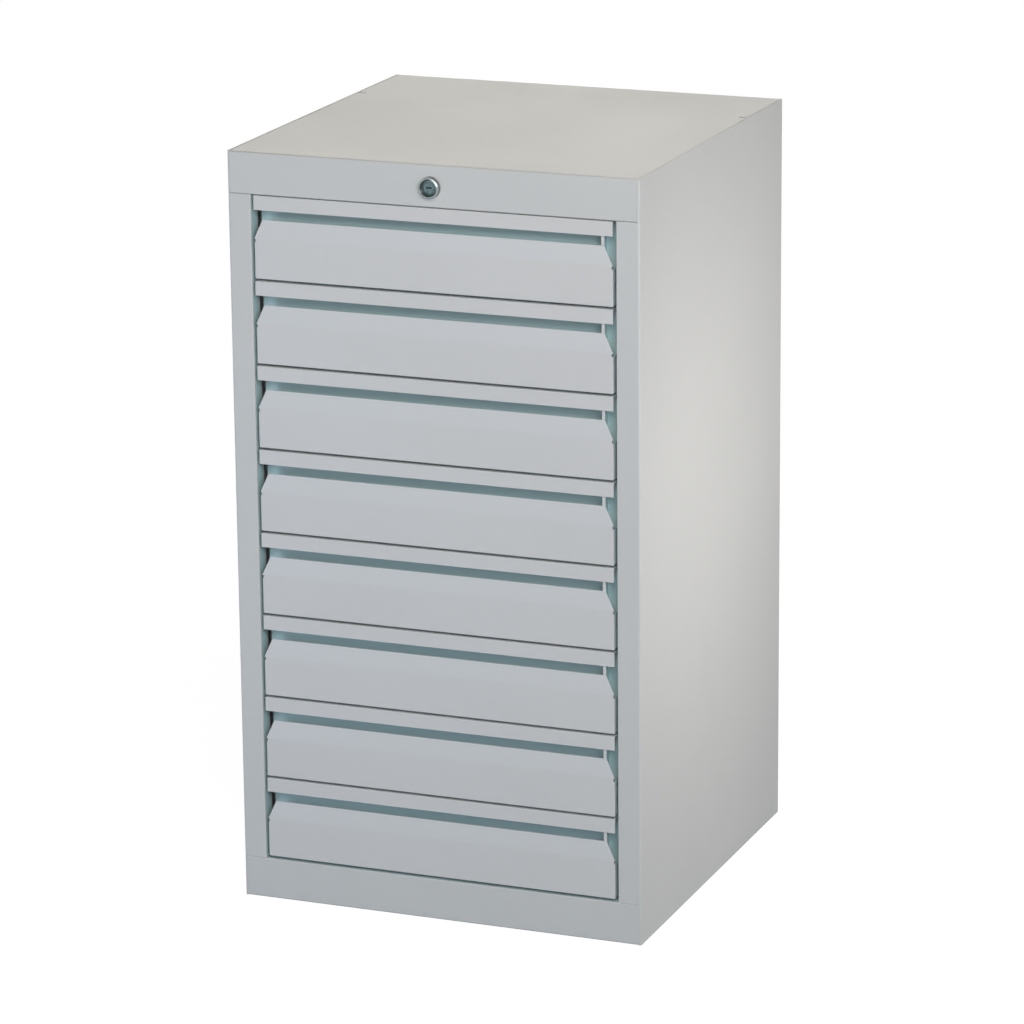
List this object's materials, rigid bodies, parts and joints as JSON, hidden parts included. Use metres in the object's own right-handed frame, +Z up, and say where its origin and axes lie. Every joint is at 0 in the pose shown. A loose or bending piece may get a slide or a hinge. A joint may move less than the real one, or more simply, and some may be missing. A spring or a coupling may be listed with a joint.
{
  "type": "laboratory drawer cabinet",
  "caption": "Tall steel cabinet with a stack of equal shallow drawers, full-width recessed grips under each top strip and a central cylinder lock in the fascia.",
  "frame": {"origin": "on the floor, under the middle of the casing", "axes": "+Z up, front of the drawers towards -Y, +X to the right of a person facing the front"},
  "size_m": [0.5, 0.5065, 0.9],
  "materials": {
    "casing_paint": "light grey powder coat, satin",
    "front_paint": "light grey powder coat, satin",
    "tray_paint": "light grey powder coat, satin",
    "zinc": "bright zinc plate",
    "lock_chrome": "polished",
    "guide_plastic": "moulded, matt"
  },
  "bodies": {
    "casing": {"side_left": "casing_paint", "side_right": "casing_paint", "top_cover": "casing_paint", "base_pan": "casing_paint", "back_panel": "casing_paint", "uprights_left": "zinc", "uprights_right": "zinc", "runners_fixed_left": "zinc", "runners_fixed_right": "zinc", "lock_housing": "lock_chrome", "lock_nut": "zinc", "rocker_bracket": "zinc", "bar_guides": "guide_plastic"},
    "lock_plug": {"lock_plug": "lock_chrome", "lock_cam": "zinc"},
    "lock_rocker": {"lock_rocker": "zinc"},
    "lock_bar": {"lock_bar": "zinc", "lock_hooks": "zinc"},
    "drawer_1": {"drawer_1_front": "front_paint", "drawer_1_grip_rail": "front_paint", "drawer_1_tray": "tray_paint", "drawer_1_fittings": "zinc"},
    "runner_middle_1": {"runner_middle_1": "zinc"},
    "drawer_2": {"drawer_2_front": "front_paint", "drawer_2_grip_rail": "front_paint", "drawer_2_tray": "tray_paint", "drawer_2_fittings": "zinc"},
    "runner_middle_2": {"runner_middle_2": "zinc"},
    "drawer_3": {"drawer_3_front": "front_paint", "drawer_3_grip_rail": "front_paint", "drawer_3_tray": "tray_paint", "drawer_3_fittings": "zinc"},
    "runner_middle_3": {"runner_middle_3": "zinc"},
    "drawer_4": {"drawer_4_front": "front_paint", "drawer_4_grip_rail": "front_paint", "drawer_4_tray": "tray_paint", "drawer_4_fittings": "zinc"},
    "runner_middle_4": {"runner_middle_4": "zinc"},
    "drawer_5": {"drawer_5_front": "front_paint", "drawer_5_grip_rail": "front_paint", "drawer_5_tray": "tray_paint", "drawer_5_fittings": "zinc"},
    "runner_middle_5": {"runner_middle_5": "zinc"},
    "drawer_6": {"drawer_6_front": "front_paint", "drawer_6_grip_rail": "front_paint", "drawer_6_tray": "tray_paint", "drawer_6_fittings": "zinc"},
    "runner_middle_6": {"runner_middle_6": "zinc"},
    "drawer_7": {"drawer_7_front": "front_paint", "drawer_7_grip_rail": "front_paint", "drawer_7_tray": "tray_paint", "drawer_7_fittings": "zinc"},
    "runner_middle_7": {"runner_middle_7": "zinc"},
    "drawer_8": {"drawer_8_front": "front_paint", "drawer_8_grip_rail": "front_paint", "drawer_8_tray": "tray_paint", "drawer_8_fittings": "zinc"},
    "runner_middle_8": {"runner_middle_8": "zinc"}
  },
  "joints": [
    {"name": "drawer_1_slide", "type": "slide", "parent": "casing", "child": "drawer_1", "axis": [0, -1, 0], "range_m": [0, 0.43]},
    {"name": "runner_1_slide", "type": "slide", "parent": "casing", "child": "runner_middle_1", "axis": [0, -1, 0], "range_m": [0, 0.216]},
    {"name": "drawer_2_slide", "type": "slide", "parent": "casing", "child": "drawer_2", "axis": [0, -1, 0], "range_m": [0, 0.43]},
    {"name": "runner_2_slide", "type": "slide", "parent": "casing", "child": "runner_middle_2", "axis": [0, -1, 0], "range_m": [0, 0.216]},
    {"name": "drawer_3_slide", "type": "slide", "parent": "casing", "child": "drawer_3", "axis": [0, -1, 0], "range_m": [0, 0.43]},
    {"name": "runner_3_slide", "type": "slide", "parent": "casing", "child": "runner_middle_3", "axis": [0, -1, 0], "range_m": [0, 0.216]},
    {"name": "drawer_4_slide", "type": "slide", "parent": "casing", "child": "drawer_4", "axis": [0, -1, 0], "range_m": [0, 0.43]},
    {"name": "runner_4_slide", "type": "slide", "parent": "casing", "child": "runner_middle_4", "axis": [0, -1, 0], "range_m": [0, 0.216]},
    {"name": "drawer_5_slide", "type": "slide", "parent": "casing", "child": "drawer_5", "axis": [0, -1, 0], "range_m": [0, 0.43]},
    {"name": "runner_5_slide", "type": "slide", "parent": "casing", "child": "runner_middle_5", "axis": [0, -1, 0], "range_m": [0, 0.216]},
    {"name": "drawer_6_slide", "type": "slide", "parent": "casing", "child": "drawer_6", "axis": [0, -1, 0], "range_m": [0, 0.43]},
    {"name": "runner_6_slide", "type": "slide", "parent": "casing", "child": "runner_middle_6", "axis": [0, -1, 0], "range_m": [0, 0.216]},
    {"name": "drawer_7_slide", "type": "slide", "parent": "casing", "child": "drawer_7", "axis": [0, -1, 0], "range_m": [0, 0.43]},
    {"name": "runner_7_slide", "type": "slide", "parent": "casing", "child": "runner_middle_7", "axis": [0, -1, 0], "range_m": [0, 0.216]},
    {"name": "drawer_8_slide", "type": "slide", "parent": "casing", "child": "drawer_8", "axis": [0, -1, 0], "range_m": [0, 0.43]},
    {"name": "runner_8_slide", "type": "slide", "parent": "casing", "child": "runner_middle_8", "axis": [0, -1, 0], "range_m": [0, 0.216]},
    {"name": "lock_turn", "type": "hinge", "parent": "casing", "child": "lock_plug", "pos_m": [0, -0.25, 0.874], "axis": [0, 1, 0], "range_deg": [0, 90]},
    {"name": "lock_rocker_swing", "type": "hinge", "parent": "casing", "child": "lock_rocker", "pos_m": [0.118, -0.2225, 0.874], "axis": [0, -1, 0], "range_deg": [0, 5.05]},
    {"name": "lock_bar_lift", "type": "slide", "parent": "casing", "child": "lock_bar", "axis": [0, 0, 1], "range_m": [0, 0.01016]}
  ],
  "couplings": [
    {"joint": "runner_1_slide", "follows": "drawer_1_slide", "ratio": 0.5},
    {"joint": "runner_2_slide", "follows": "drawer_2_slide", "ratio": 0.5},
    {"joint": "runner_3_slide", "follows": "drawer_3_slide", "ratio": 0.5},
    {"joint": "runner_4_slide", "follows": "drawer_4_slide", "ratio": 0.5},
    {"joint": "runner_5_slide", "follows": "drawer_5_slide", "ratio": 0.5},
    {"joint": "runner_6_slide", "follows": "drawer_6_slide", "ratio": 0.5},
    {"joint": "runner_7_slide", "follows": "drawer_7_slide", "ratio": 0.5},
    {"joint": "runner_8_slide", "follows": "drawer_8_slide", "ratio": 0.5},
    {"joint": "lock_rocker_swing", "follows": "lock_bar_lift", "rad_per_m": 8.6148},
    {"joint": "lock_turn", "follows": "lock_bar_lift", "rad_per_m": 154.63}
  ]
}
